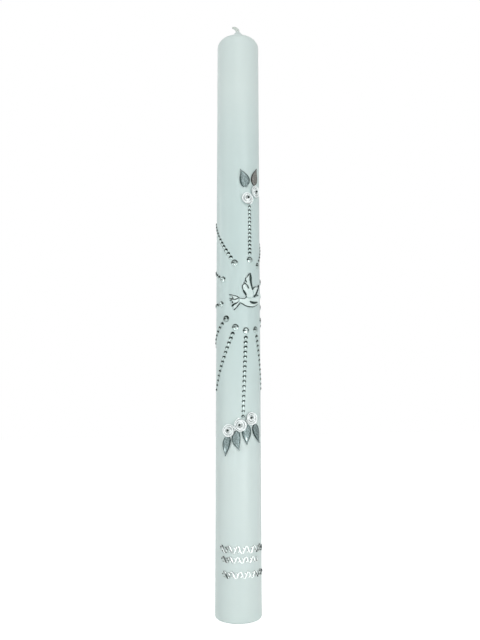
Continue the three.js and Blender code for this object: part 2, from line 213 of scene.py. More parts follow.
# The light: a tall soft box on each side of the camera, another further round on the left, a broad one
# overhead, a low one for the foot, and two small lamps that give the silver its sparkle.
def soft_box(name, turn, distance, height, width, tall, watts, aim=200):
    """An area light, turned from the camera's side and aimed at a height on the candle."""
    lamp = bpy.data.lights.new(name, "AREA")
    lamp.shape = "RECTANGLE"
    lamp.size = width * mm
    lamp.size_y = tall * mm
    lamp.energy = watts
    place = math.radians(camera_azimuth + turn)
    holder = bpy.data.objects.new(name, lamp)
    holder.location = Vector((distance * math.sin(place), -distance * math.cos(place), height)) * mm
    to_candle = Vector((0, 0, aim)) * mm - holder.location
    holder.rotation_euler = to_candle.to_track_quat("-Z", "Y").to_euler()
    scene.collection.objects.link(holder)


soft_box("key_light", 34, 900, 260, 240, 900, 2.15)
soft_box("fill_light", -60, 900, 260, 260, 900, 2.4)
soft_box("edge_light", -105, 420, 370, 120, 160, 0.27, 340)
soft_box("low_light", 30, 420, 60, 160, 160, 0.36, 60)
soft_box("top_light", 10, 700, 900, 500, 300, 0.95)
soft_box("low_sparkle", -16, 650, 60, 70, 70, 0.3)
soft_box("high_sparkle", 38, 700, 560, 80, 80, 0.4)


# The coat is the hard, smooth layer of pale wax that the candle gets by dipping. It covers the core from
# the cut foot to the pointed head, about a millimetre thick, and climbs the wick in a small collar.
candle_radius = (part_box("dip_coat")[1].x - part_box("dip_coat")[0].x) / 2 / mm
collar_rise = 2.8
candle_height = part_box("dip_coat")[1].z / mm - collar_rise
head_slope = math.radians(28)
shoulder_radius = 4.5
foot_radius = 1.5
coat_thickness = 1
wick_radius = 1.45
collar_foot_radius = 5.6
collar_lip = 0.5
collar_bend = Vector((wick_radius + 2.3, 0, candle_height + 0.7))
collar_steps = 5
channel_gap = 0.3
ripple = 0.05
coat_steps_around = 144
coat_steps_up = 110


def arc(centre, radius, start, end, steps):
    """Points of an arc in the XZ plane, from one angle to another in degrees."""
    angles = [math.radians(start + (end - start) * step / steps) for step in range(steps + 1)]
    return [Vector((centre[0] + radius * math.cos(a), 0, centre[1] + radius * math.sin(a))) for a in angles]


def cone_height(radius, inset=0):
    """The height of the head's cone, or of the same cone moved in by an inset."""
    return candle_height - inset / math.cos(head_slope) - radius * math.tan(head_slope)


def turned(bm, profile, steps):
    """Spins an open profile in the XZ plane round the candle's middle."""
    points = [bm.verts.new(point) for point in profile]
    edges = [bm.edges.new(pair) for pair in zip(points, points[1:])]
    bmesh.ops.spin(bm, geom=points + edges, axis=(0, 0, 1), cent=(0, 0, 0), angle=2 * math.pi, steps=steps,
                   use_merge=True)
    bmesh.ops.remove_doubles(bm, verts=bm.verts, dist=0.0005)


def face_outward(bm):
    """Makes the faces of each shell agree, then turns round every shell whose signed volume is negative."""
    bmesh.ops.recalc_face_normals(bm, faces=bm.faces)
    seen = set()
    for first in bm.faces:
        if first in seen:
            continue
        seen.add(first)
        shell = [first]
        for face in shell:
            for edge in face.edges:
                for other in edge.link_faces:
                    if other not in seen:
                        seen.add(other)
                        shell.append(other)
        start = first.verts[0].co
        volume = 0
        for face in shell:
            corners = [corner.co - start for corner in face.verts]
            for second, third in zip(corners[1:], corners[2:]):
                volume += corners[0].dot(second.cross(third))
        if volume < 0:
            for face in shell:
                face.normal_flip()


def finish(name, bm, material, slot, *nodes, crease=40):
    """Turns a drawing in millimetres into a finished piece that stands for CAD nodes."""
    face_outward(bm)
    for face in bm.faces:
        face.smooth = True
    for edge in bm.edges:
        edge.smooth = edge.calc_face_angle(0) < math.radians(crease)
    bmesh.ops.scale(bm, vec=(mm, mm, mm), verts=bm.verts)
    mesh = bpy.data.meshes.new(name)
    bm.to_mesh(mesh)
    bm.free()
    mesh.materials.append(material)
    piece = bpy.data.objects.new(name, mesh)
    scene.collection.objects.link(piece)
    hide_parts(*nodes)
    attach(piece, "root")
    return piece


def new_material(name):
    """An empty material, its nodes, and the place on the piece in millimetres."""
    material = bpy.data.materials.new(name)
    material.use_nodes = True
    nodes = Nodes(material.node_tree)
    metres = nodes.add("TexCoord", output=3)
    place = nodes.add("VectorMath", {"operation": "SCALE"}, {0: metres, "Scale": 1 / mm})
    return material, nodes, place


def mottle(nodes, place, size, detail=2, roughness=0.5, stretch=(1, 1, 1)):
    """Soft noise from 0 to 1 with spots of about a size in millimetres."""
    turned_place = nodes.add("Mapping", {"vector_type": "POINT"}, {"Vector": place, "Scale": stretch})
    return nodes.add("TexNoise", {}, {
        "Vector": turned_place, "Scale": 1 / size, "Detail": detail, "Roughness": roughness,
    })


def blend(nodes, share, first, second):
    """A colour between two, by a share from 0 to 1."""
    return nodes.add("Mix", {"data_type": "RGBA"}, {0: share, 6: first, 7: second}, output=2)


# Painted shade: the wax is drawn darker round the middle of the candle's height.
painted_shade_height = 225
painted_shade_reach = 130


def coat_wax_material():
    material, nodes, place = new_material("coat_wax")
    clouds = mottle(nodes, place, 26, stretch=(1, 1, 0.35))
    specks = mottle(nodes, place, 2.2, detail=3)
    light_tone = blend(nodes, clouds, colour(201, 214, 212), colour(209, 221, 218))
    height = nodes.add("SeparateXYZ", {}, {"Vector": place}, output=2)
    from_painted_shade_middle = (height - painted_shade_height) * (1 / painted_shade_reach)
    painted_shade_share = nodes.add("Math", {"operation": "MAXIMUM"}, {0: 1 - from_painted_shade_middle * from_painted_shade_middle, 1: 0})
    # Painted shade: a darker colour is blended in round the middle of the candle's height.
    shade = blend(nodes, painted_shade_share, light_tone, colour(192, 209, 207))
    waves = mottle(nodes, place, 9, detail=1, stretch=(1, 1, 0.5))
    skin = nodes.add("Bump", {}, {"Strength": 0.35, "Distance": 0.06 * mm, "Height": waves + 0.25 * specks})
    surface = nodes.add("BsdfPrincipled", {}, {
        "Base Color": shade,
        "Roughness": 0.34 + 0.1 * specks,
        "Specular IOR Level": 0.46,
        "IOR": 1.44,
        "Subsurface Weight": 0.18,
        "Subsurface Radius": (1, 0.95, 0.9),
        "Subsurface Scale": 1.2 * mm,
        "Normal": skin,
    })
    nodes.add("OutputMaterial", {}, {"Surface": surface})
    return material


def dip_coat():
    wall_top = cone_height(candle_radius) - shoulder_radius * math.tan((math.pi / 2 - head_slope) / 2)
    foot = arc((candle_radius - foot_radius, foot_radius), foot_radius, -90, 0, 8)
    shoulder_turn = 90 - math.degrees(head_slope)
    shoulder = arc((candle_radius - shoulder_radius, wall_top), shoulder_radius, 0, shoulder_turn, 14)
    wall = [foot[-1].lerp(shoulder[0], step / coat_steps_up) for step in range(1, coat_steps_up)]
    cone_end = Vector((collar_foot_radius, 0, cone_height(collar_foot_radius)))
    cone = [shoulder[-1].lerp(cone_end, step / 8) for step in range(1, 9)]
    collar_top = Vector((wick_radius + collar_lip, 0, candle_height + collar_rise))
    shares = [step / collar_steps for step in range(1, collar_steps + 1)]
    collar = [cone_end.lerp(collar_bend, t).lerp(collar_bend.lerp(collar_top, t), t) for t in shares]
    inner_wall = candle_radius - coat_thickness
    inner_top = cone_height(inner_wall, coat_thickness) - 2
    inside = [
        Vector((wick_radius - 0.1, 0, candle_height + collar_rise - 0.1)),
        Vector((wick_radius + channel_gap, 0, cone_height(wick_radius + channel_gap, coat_thickness))),
        Vector((inner_wall - 3, 0, cone_height(inner_wall - 3, coat_thickness))),
        Vector((inner_wall, 0, inner_top)),
        Vector((inner_wall, 0, coat_thickness)),
        Vector((0, 0, coat_thickness)),
    ]
    bm = bmesh.new()
    turned(bm, [Vector((0, 0, 0)), *foot, *wall, *shoulder, *cone, *collar, *inside], coat_steps_around)
    for corner in bm.verts:
        outside = corner.co.xy.length > inner_wall + 0.5 * coat_thickness
        if outside and foot_radius < corner.co.z < wall_top:
            fade = min(1, (corner.co.z - foot_radius) / 12, (wall_top - corner.co.z) / 12)
            swell = noise.noise(Vector((corner.co.x / 14, corner.co.y / 14, corner.co.z / 38)))
            corner.co.xy *= 1 + fade * ripple * min(0, swell - 0.2) / candle_radius
    return finish("dipped_coat", bm, coat_wax_material(), "coat_wax", "dip_coat")


dip_coat()


# The core is the pressed cylinder of softer, creamier wax inside the coat, with the channel for the wick.
# It keeps its CAD solid, because the coat covers all of it.
def core_wax_material():
    material, nodes, place = new_material("core_wax")
    grains = mottle(nodes, place, 0.9, detail=4)
    clouds = mottle(nodes, place, 12)
    shade = blend(nodes, 0.5 * grains + 0.5 * clouds, colour(222, 219, 203), colour(238, 236, 224))
    pressed = nodes.add("Bump", {}, {"Strength": 0.5, "Distance": 0.15 * mm, "Height": grains})
    surface = nodes.add("BsdfPrincipled", {}, {
        "Base Color": shade,
        "Roughness": 0.5 + 0.2 * grains,
        "Subsurface Weight": 0.15,
        "Subsurface Scale": 1.5 * mm,
        "Normal": pressed,
    })
    nodes.add("OutputMaterial", {}, {"Surface": surface})
    return material


core = frame["nodes"]["wax_core"]
core.data.materials.clear()
core.data.materials.append(core_wax_material())


# The wick is one plaited cotton cord, soaked in wax. It runs straight up the core and bends over at the top
# to a pinched end.
wick_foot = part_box("wick")[0].z / mm
wick_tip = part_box("wick")[1].z / mm
wick_bend = 4.2
wick_bend_direction = math.radians(155)
wick_free = candle_height + collar_rise
wick_sides = 28
wick_end_radius = 0.75
wick_bent_length = 7.4
wick_fine_start = 3
wick_fine_step = 0.14
wick_knee = 0.75
pinch_start = 0.35
pinch_flatness = 0.25
plait_length = 3.4
plait_depth = 0.11


def sweep(bm, section, frames):
    """Pulls a closed flat section through frames, each a matrix that places and sizes it."""
    rings = [[bm.verts.new(frame @ corner) for corner in section] for frame in frames]
    for ring, after in zip(rings, rings[1:]):
        for k in range(len(section)):
            bm.faces.new((ring[k - 1], ring[k], after[k], after[k - 1]))
    bm.faces.new(rings[0])
    bm.faces.new(rings[-1])


def axes(across, up, forward, origin):
    """A matrix from its three axes and its origin."""
    return Matrix.Translation(origin) @ Matrix((across, up, forward)).transposed().to_4x4()


def circle(sides):
    turns = [2 * math.pi * side / sides for side in range(sides)]
    return [Vector((math.cos(turn), math.sin(turn), 0)) for turn in turns]


def wick_material():
    material, nodes, place = new_material("waxed_cotton")
    fibres = mottle(nodes, place, 0.25, detail=3, stretch=(1, 1, 0.3))
    soaked = mottle(nodes, place, 1.6)
    shade = blend(nodes, soaked, colour(196, 204, 199), colour(212, 219, 213))
    strands = nodes.add("Bump", {}, {"Strength": 0.4, "Distance": 0.08 * mm, "Height": fibres})
    surface = nodes.add("BsdfPrincipled", {}, {
        "Base Color": shade,
        "Roughness": 0.75 + 0.2 * fibres,
        "Normal": strands,
    })
    nodes.add("OutputMaterial", {}, {"Surface": surface})
    return material


def wick():
    fine_from = wick_free - wick_fine_start
    fine_steps = int((wick_fine_start + wick_bent_length) / wick_fine_step) + 1
    heights = [wick_foot + (fine_from - wick_foot) * step / 12 for step in range(12)]
    heights += [fine_from + wick_fine_step * step for step in range(fine_steps)]
    bm = bmesh.new()
    sweep(bm, circle(wick_sides), [Matrix.Translation((0, 0, height)) for height in heights])
    low = Vector((0, wick_free, 0))
    knee = Vector((0, wick_free + wick_knee * (wick_tip - wick_free), 0))
    end = Vector((wick_bend, wick_tip - wick_end_radius, 0))
    lean = Vector((math.cos(wick_bend_direction), math.sin(wick_bend_direction), 0))
    aside = Vector((-lean.y, lean.x, 0))
    for corner in bm.verts:
        turn = math.atan2(corner.co.y, corner.co.x)
        height = corner.co.z
        share = min(max((height - wick_free) / wick_bent_length, 0), 1)
        climb = 2 * math.pi * height / plait_length
        strands = math.cos(1.5 * turn + climb) ** 2 + math.cos(1.5 * turn - climb) ** 2
        pinch = max(0, share - pinch_start) / (1 - pinch_start)
        radius = wick_radius + (wick_end_radius - wick_radius) * pinch ** 2
        radius *= 1 - plait_depth * (1 - strands / 2)
        at = low.lerp(knee, share).lerp(knee.lerp(end, share), share)
        if height < wick_free:
            at = Vector((0, height, 0))
        heading = ((1 - share) * (knee - low) + share * (end - knee)).normalized()
        flat = radius * math.cos(turn) * (1 - pinch_flatness * pinch)
        side = radius * math.sin(turn)
        corner.co = lean * (at.x + flat * heading.y) + aside * side
        corner.co.z = at.y - flat * heading.x
    return finish("plaited_wick", bm, wick_material(), "cotton", "wick", crease=70)


wick()


# The dove is cut from thin plates of white wax with puffed faces, glued on side by side. Dark silver cord
# is laid between the feathers and along the wing edges, and a finer cord runs round the outline.
glue = 0.3
dove_height = 0.51 * candle_height
plate_thickness = 0.6
plate_edge = 0.1
plate_roll = 1.1
line_thickness = 0.55
fine_line_thickness = 0.35
cut_step = 0.45

dove_lines = {
    "dove_line_near_wing": [
        (1.8, 14.4, 1.1), (2.1, 12.3, 2), (2.1, 10.2, 1.9), (2.4, 8.3, 1.7), (2.9, 6.3, 1.4), (3.35, 4.3, 0.9),
    ],
    "dove_line_feather": [(-2, 7.9, 0.5), (-1.1, 6.9, 0.7), (-0.3, 6.1, 1), (0.2, 5.2, 1), (0.6, 4.2, 0.5)],
    "dove_line_wing_root": [(-3.2, 3.2, 0.7), (-2.5, 1.9, 1.3), (-1.7, 0.6, 1.2), (-1.1, -0.6, 0.7)],
    "dove_line_far_wing": [
        (4.8, -1, 0.7), (5.6, -0.2, 1.2), (6.7, 1.2, 1.3), (7.9, 2.9, 1.4), (9, 4.7, 1.4), (10, 6.6, 1.2),
        (10.7, 8.3, 0.6),
    ],
    "dove_line_breast": [
        (1.5, -4.2, 1), (2.4, -4.8, 1.5), (3.8, -5.05, 1.8), (5.4, -4.9, 1.6), (7, -4.5, 1.2), (8.8, -3.9, 0.5),
    ],
    "dove_line_tail": [
        (-10.9, -7.9, 1.1), (-10, -7.4, 1.5), (-9.2, -6.7, 1.3), (-8.2, -6.2, 1), (-7.3, -5.8, 0.5),
    ],
}
edge_lines = [
    [(-5.3, -5.4, 0.6), (-3.5, -6.4, 0.6), (-2, -7.3, 0.6), (0.3, -7.95, 0.7), (2.4, -7.9, 0.7),
     (4.6, -7.55, 0.7), (7.2, -6.3, 0.6), (9.8, -4.4, 0.4)],
    [(-6.6, -2.1, 0.5), (-5, -2.75, 0.6), (-3.4, -3, 0.6), (-1.9, -2.6, 0.6), (-1.2, -1.7, 0.6),
     (-0.9, -0.7, 0.5)],
    [(4.2, 4.7, 0.8), (5.3, 5.7, 0.7), (6.9, 6.2, 0.7), (8.2, 6.2, 0.7), (9.3, 6.7, 0.6)],
    [(-12.5, 0, 0.8), (-11, -0.4, 0.7), (-9.4, -0.8, 0.6), (-7.6, -1.3, 0.6), (-6.3, -2, 0.6)],
    [(-9.3, -10.6, 0.7), (-8.6, -9.7, 0.8), (-7.6, -8.7, 0.7), (-6.6, -7.6, 0.7), (-5.8, -6.6, 0.6),
     (-5.2, -5.6, 0.5)],
    [(-0.4, 11.9, 0.5), (0.3, 13.2, 0.8), (1.1, 14.3, 0.7), (1.8, 14.9, 0.7), (2.4, 14.7, 0.5)],
    [(-1.9, 8.8, 0.3), (-1.6, 10, 0.5), (-1.2, 11.3, 0.9), (-0.4, 12, 0.5)],
    [(-2.7, 7.2, 0.3), (-2.4, 8.2, 0.9), (-1.8, 8.7, 0.5)],
    [(-3.4, 3.3, 0.5), (-3.7, 4.6, 0.5), (-3.6, 5.6, 0.6), (-3.2, 6.5, 0.9), (-2.7, 7, 0.5)],
]
face_lines = [
    [(-12.1, -2.6, 0.7), (-10.6, -3, 0.7), (-9.6, -3.4, 0.7), (-8.6, -3.6, 0.9), (-7.4, -3.1, 0.8),
     (-6.4, -2.5, 0.5)],
    [(-10.4, -1.4, 0.7), (-9.9, -2.3, 0.8), (-9.5, -3.2, 0.5)],
    [(-11.9, -4.1, 0.6), (-11.2, -4, 0.7), (-10.4, -3.7, 0.5)],
    [(-10.2, -4.5, 0.6), (-10.3, -5.3, 0.8), (-9.6, -5.9, 0.6)],
    [(-7.6, -5.9, 0.6), (-6.9, -5.4, 0.5), (-6.3, -4.7, 0.4)],
    [(-2.6, 7.6, 0.6), (-1.9, 7.6, 0.8), (-1.2, 6.9, 0.6)],
    [(-1.8, 9.9, 0.6), (-1.3, 9.1, 0.8), (-0.8, 8.1, 0.5)],
    [(4.3, 4.8, 0.7), (3.6, 4, 0.7), (2.9, 4.1, 0.5)],
    [(6.9, 1, 0.5), (8, 0.7, 0.6), (9.4, 0.9, 0.5)],
]
dove_plates = {
    "dove_body": [
        [(-5.4, -5.5)],
        [(-5, -5.7), (-3.5, -6.4), (-2, -7.3), (0.3, -7.9), (2.4, -7.9), (4.6, -7.5), (7.2, -6.3), (9.9, -4.4),
         (12.6, -1.3)],
        [(14, -0.4)],
        [(16.4, 0.3)],
        [(14.5, 1.4), (13, 2.5), (11.2, 2.3), (9.2, 0.9), (7, -0.6)],
        [(4.9, -1.5), (3, -1.9), (0.9, -2.4), (-1, -2)],
        [(-2, -2.7), (-3.5, -3), (-4.9, -2.8), (-6.1, -2.4)],
    ],
    "dove_near_wing": [
        [(-0.8, -1), (-1.7, 0.6), (-2.5, 1.9), (-3.3, 3.2)],
        [(-3.7, 4.3), (-3.7, 5.6)],
        [(-3.2, 6.8), (-2.6, 6.9)],
        [(-2.5, 8.6), (-1.9, 8.8)],
        [(-1.2, 11.7), (-0.4, 11.9)],
        [(0.9, 14.2)],
        [(1.9, 14), (2.1, 12.3), (2.1, 10.2), (2.4, 8.3), (2.9, 6.3), (3.35, 4.3)],
        [(4.5, 1)],
        [(3, -1.5), (0.9, -2), (-0.5, -1.6)],
    ],
    "dove_far_wing": [
        [(5.2, -0.6)],
        [(5.6, -0.2), (6.7, 1.2), (7.9, 2.9), (9, 4.7), (9.9, 6.4)],
        [(9.3, 6.6), (8.2, 6.2), (6.9, 6.2), (5.3, 5.6)],
        [(4.4, 4.4), (4.9, 1)],
    ],
    "dove_tail": [
        [(-5.8, -5.9)],
        [(-6.5, -2.2), (-7.6, -1.5), (-9.4, -0.9), (-12.5, 0.1)],
        [(-10.7, -1.5), (-12.1, -2.5)],
        [(-10.6, -3.1), (-12, -4.1)],
        [(-10.4, -4.6), (-11.3, -5.9)],
        [(-10, -6.2), (-10.9, -8.2)],
        [(-9.5, -8.4), (-9.3, -10.6)],
        [(-7.4, -8.2)],
    ],
}
# Where the plates' feathers spread from, and how many feathers there are to a full turn round it.
feathering = {
    "dove_body": ((-9, -1), 0),
    "dove_near_wing": ((3.6, -2.6), 62),
    "dove_far_wing": ((5.4, -3), 58),
    "dove_tail": ((-3.2, -3.6), 54),
}


def spline(points, steps=4):
    """A smooth curve through points of any number of coordinates, with so many steps between each two."""
    if len(points) < 3:
        return [Vector(point) for point in points]
    near = [Vector(points[0]), *[Vector(point) for point in points], Vector(points[-1])]
    curve = []
    for a, b, c, d in zip(near, near[1:], near[2:], near[3:]):
        for step in range(steps):
            t = step / steps
            curve.append(0.5 * (2 * b + (c - a) * t + (2 * a - 5 * b + 4 * c - d) * t ** 2
                                + (3 * b - a - 3 * c + d) * t ** 3))
    return [*curve, near[-1]]


def wrap(bm):
    """Lays what was drawn flat (x across, y up, z out) round the candle, on its film of glue."""
    for corner in bm.verts:
        turn = corner.co.x / candle_radius
        reach = candle_radius + glue + corner.co.z
        corner.co = Vector((reach * math.sin(turn), -reach * math.cos(turn), corner.co.y))


half_turn = [math.radians(turn) for turn in range(0, 181, 20)]
half_round = [Vector((math.cos(turn), 0, math.sin(turn))) for turn in half_turn]
half_round = [Vector((0.9, 0, -0.4)), *half_round, Vector((-0.9, 0, -0.4))]


def stroke(bm, curve, height, base=0):
    """A half round cord along a flat curve of (across, up, width), pointed at its ends."""
    frames = []
    for k, (across, up, width) in enumerate(curve):
        ahead = curve[min(k + 1, len(curve) - 1)].xy - curve[max(k - 1, 0)].xy
        heading = ahead.normalized()
        end = min(k, len(curve) - 1 - k)
        taper = (0.3, 0.75, 1)[min(end, 2)]
        side = Vector((heading.y, -heading.x, 0)) * width / 2 * taper
        rise = Vector((0, 0, height * taper ** 0.5))
        frames.append(axes(side, heading.to_3d(), rise, Vector((across, up, base))))
    sweep(bm, half_round, frames)


def silver_material(name, polished, tarnish, rough):
    """Silvered wax, from polished to dark by an attribute on the piece that holds its tarnish together with
    painted light: painted dark reflections on the pearls and rows, and painted glints on the leaves.
    """
    material, nodes, place = new_material(name)
    darkening_share = nodes.add("Attribute", {"attribute_name": "tarnish"}, {}, output=2)
    spots = mottle(nodes, place, 0.8, detail=3)
    dents = mottle(nodes, place, 0.45, detail=2)
    # The darkening mixes tarnish and the painted light stored on the piece with random spots.
    darkness = nodes.add("Clamp", {}, {"Value": darkening_share + 0.5 * (spots - 0.5)})
    surface = nodes.add("BsdfPrincipled", {}, {
        "Base Color": blend(nodes, darkness, polished, tarnish),
        "Metallic": 1 - 0.15 * darkness,
        "Roughness": rough + 0.14 * spots + 0.16 * darkness,
        "Normal": nodes.add("Bump", {}, {"Strength": 0.4, "Distance": 0.05 * mm, "Height": dents}),
    })
    nodes.add("OutputMaterial", {}, {"Surface": surface})
    return material


def shade_by(bm, attribute, rule):
    """Stores a share from 0 to 1 at each corner, by a rule on its place in the drawing."""
    layer = bm.verts.layers.float.new(attribute)
    for corner in bm.verts:
        corner[layer] = min(max(rule(corner.co), 0), 1)


def white_wax_material(name, low, high):
    """Sheet wax, mottled between two shades, with painted grey shade in its hollows by a share stored on the
    piece as an attribute.
    """
    material, nodes, place = new_material(name)
    clouds = mottle(nodes, place, 3.5)
    grain = mottle(nodes, place, 0.5, detail=3)
    groove = nodes.add("Attribute", {"attribute_name": "groove"}, {}, output=2)
    surface = nodes.add("BsdfPrincipled", {}, {
        # Painted shade: grey is blended in where the stored share says a place lies between petals.
        "Base Color": blend(nodes, groove, blend(nodes, clouds, low, high), colour(112, 122, 120)),
        "Roughness": 0.33 + 0.15 * grain,
        "Specular IOR Level": 0.42,
        "Subsurface Weight": 0.2,
        "Subsurface Radius": (1, 1, 1),
        "Subsurface Scale": 0.8 * mm,
        "Normal": nodes.add("Bump", {}, {"Strength": 0.3, "Distance": 0.04 * mm, "Height": grain}),
    })
    nodes.add("OutputMaterial", {}, {"Surface": surface})
    return material


def to_edge(point, outline):
    """The least distance from a flat point to a closed outline."""
    best = 1e9
    for start, end in zip(outline, [*outline[1:], outline[0]]):
        side = end - start
        along = min(max((point - start).dot(side) / max(side.length_squared, 1e-9), 0), 1)
        best = min(best, (start + side * along - point).length)
    return best


def to_stroke(point, curve):
    """The least distance from a flat point to a stroke's flank."""
    return min((Vector(at[:2]) - point).length - at[2] / 2 for at in curve)


def cut(bm, low, high, step):
    """Cuts a flat face into strips both ways, so that it can be puffed and bent."""
    for axis in (0, 1):
        lines = int((high[axis] - low[axis]) / step)
        for line in range(1, lines + 1):
            normal = Vector((1 - axis, axis, 0))
            at = Vector(normal) * (low[axis] + step * line)
            whole = bm.verts[:] + bm.edges[:] + bm.faces[:]
            bmesh.ops.bisect_plane(bm, geom=whole, plane_co=at, plane_no=normal, dist=0.0001)


def plate(name, stretches, strokes, centre, feathers):
    outline = [point for stretch in stretches for point in spline(stretch, 4)]
    bm = bmesh.new()
    bm.faces.new([bm.verts.new(point.to_3d()) for point in outline])
    low = [min(point[axis] for point in outline) for axis in (0, 1)]
    high = [max(point[axis] for point in outline) for axis in (0, 1)]
    cut(bm, low, high, cut_step)
    top = bmesh.ops.extrude_face_region(bm, geom=bm.faces[:], use_keep_orig=True)["geom"]
    top = {part for part in top if isinstance(part, bmesh.types.BMVert)}
    for corner in bm.verts:
        if corner not in top:
            corner.co.z = -glue
            continue
        place = corner.co.xy
        inward = min(to_edge(place, outline), *[to_stroke(place, curve) for curve in strokes])
        rise = min(max(inward, 0) / plate_roll, 1)
        puff = math.sqrt(1 - (1 - rise) ** 2)
        fan = place - Vector(centre)
        barbs = abs(math.sin(0.5 * feathers * math.atan2(fan.y, fan.x))) if feathers else 0.5
        barb_depth = 0.12 * rise * min(fan.length / 6, 1)
        corner.co.z = plate_edge + (plate_thickness - plate_edge) * puff - barb_depth * (1 - barbs) ** 2
    wrap(bm)
    bmesh.ops.translate(bm, vec=(0, 0, dove_height), verts=bm.verts)
    return finish(name + "_wax", bm, dove_wax, "white_wax", name, crease=60)


dove_wax = white_wax_material("dove_wax", colour(204, 220, 217), colour(216, 230, 227))
dark_silver = silver_material("dark_silver", colour(50, 63, 60), colour(14, 24, 22), 0.2)

dove_strokes = {name: spline(points, 5) for name, points in dove_lines.items()}
for name, stretches in dove_plates.items():
    plate(name, stretches, list(dove_strokes.values()), *feathering[name])

for name, curve in dove_strokes.items():
    bm = bmesh.new()
    stroke(bm, curve, line_thickness)
    shade_by(bm, "tarnish", lambda at: 0.75 - 0.55 * at.z / line_thickness)
    wrap(bm)
    bmesh.ops.translate(bm, vec=(0, 0, dove_height), verts=bm.verts)
    finish(name + "_cord", bm, dark_silver, "dark_silver", name, crease=60)

bm = bmesh.new()
for points in edge_lines:
    stroke(bm, spline(points, 5), fine_line_thickness)
for points in face_lines:
    stroke(bm, spline(points, 5), fine_line_thickness, plate_thickness - 0.2)
shade_by(bm, "tarnish", lambda at: 0.4)
wrap(bm)
bmesh.ops.translate(bm, vec=(0, 0, dove_height), verts=bm.verts)
finish("dove_outline_cord", bm, dark_silver, "dark_silver", crease=60)


# The rays are strips of small silver half pearls, pressed in one piece on a thin web, that shrink as they
# leave the dove. A larger single pearl lies at the start of each.
ray_ring_width = 40
ray_ring_height = 48.6
start_pearl_diameter = 4.6
start_pearl_height = 0.4
first_bead_gap = 0.9
bead_diameter = 2.9
bead_height = 0.36
bead_taper = 0.045
bead_pitch = 3.25
smallest_bead = 2
web_width = 0.8
web_thickness = 0.2
bare_back = 6
rose_diameter = 8.8
under_petals = 0.45

# Each ray by where round the ring its start pearl lies, its heading (both in degrees), how many beads it
# has and how widely they are spaced.
rays = [
    (86, 90, 13, 0.84),
    (66, 60, 11, 0.985),
    (33, 32, 9, 0.985),
    (-17, -6, 7, 0.985),
    (-46, -40, 10, 0.985),
    (-74, -76, 12, 0.985),
    (-93, -92.3, 17, 0.985),
    (-111, -113, 13, 1.015),
    (-133, -136.5, 10, 1.045),
    (-163, 178, 7, 1.015),
    (148.5, 151, 9, 1.045),
    (112.5, 124, 11, 1.01),
]
# Each rose by its place on the unrolled candle (across and up), and how far its heart is rolled off its
# middle.
lower_garland = 0.298 * candle_height
upper_garland = 0.6927 * candle_height
roses = {
    "lower_1": (Vector((-12.4, lower_garland - 3.8)), Vector((-0.4, 0.4))),
    "lower_2": (Vector((-5, lower_garland - 0.1)), Vector((-1, 0.1))),
    "lower_3": (Vector((2, lower_garland + 4.3)), Vector((-0.8, 0.2))),
    "upper_1": (Vector((-0.6, upper_garland - 6.9)), Vector((0.7, 0.7))),
    "upper_2": (Vector((6.3, upper_garland - 0.8)), Vector((0, 0.2))),
}


def half_pearl(bm, at, diameter, height, segments, rings):
    """A low half pearl, its flat back pressed into the glue."""
    made = bmesh.ops.create_uvsphere(bm, u_segments=segments, v_segments=rings, radius=diameter / 2)
    bmesh.ops.scale(bm, vec=(1, 1, 2 * (height + glue) / diameter), verts=made["verts"])
    for corner in made["verts"]:
        corner.co.z = max(corner.co.z - glue, -glue)
    bmesh.ops.translate(bm, vec=at.to_3d(), verts=made["verts"])


def ray_beads(start, heading, count, spread):
    """The beads of a ray, middle and diameter, as many as fit before a rose or the candle's back."""
    beads = []
    for bead in range(count):
        radius = max(bead_diameter - bead_taper * bead, smallest_bead) / 2
        along = start_pearl_diameter / 2 + first_bead_gap + bead_diameter / 2 + spread * bead_pitch * bead
        middle = start + heading * along
        beyond_back = abs(middle.x) + radius > math.pi * candle_radius - bare_back / 2
        clear = under_petals * rose_diameter + radius
        near_rose = any((middle - place).length < clear for place, heart in roses.values())
        if beyond_back or near_rose:
            break
        beads.append((middle, 2 * radius))
    return beads


def band(value, middle, width):
    """1 at the middle of a soft band, falling to 0 on both sides of it."""
    return math.exp(-((value - middle) / width) ** 2)


def bead_shade(offset):
    """The painted dark reflection arching over the upper half of a bead, by the offset from the bead's middle
    in radii.
    """
    arch = 0.4 - 0.75 * offset.x ** 2 + 0.1 * offset.x
    return (1.7 + 0.5 * offset.x) * band(offset.y, arch, 0.45)


# One start pearl is drawn darker all over.
darker_pearl = "09"
darker_pearl_share = 0.45


def start_shade(offset):
    """The painted dark reflection on a start pearl: a ring, open below, with a dark bar across its middle."""
    upward = offset.y / max(offset.length, 0.01)
    ring = band(offset.length, 0.75, 0.18) * (0.5 + 0.65 * upward)
    bar = 1.1 * band(offset.y, 0.1 + 0.15 * offset.x, 0.18) * (1 - band(offset.x, 0.3, 0.22))
    return ring + bar + 0.12 * band(offset.length, 0.97, 0.12)


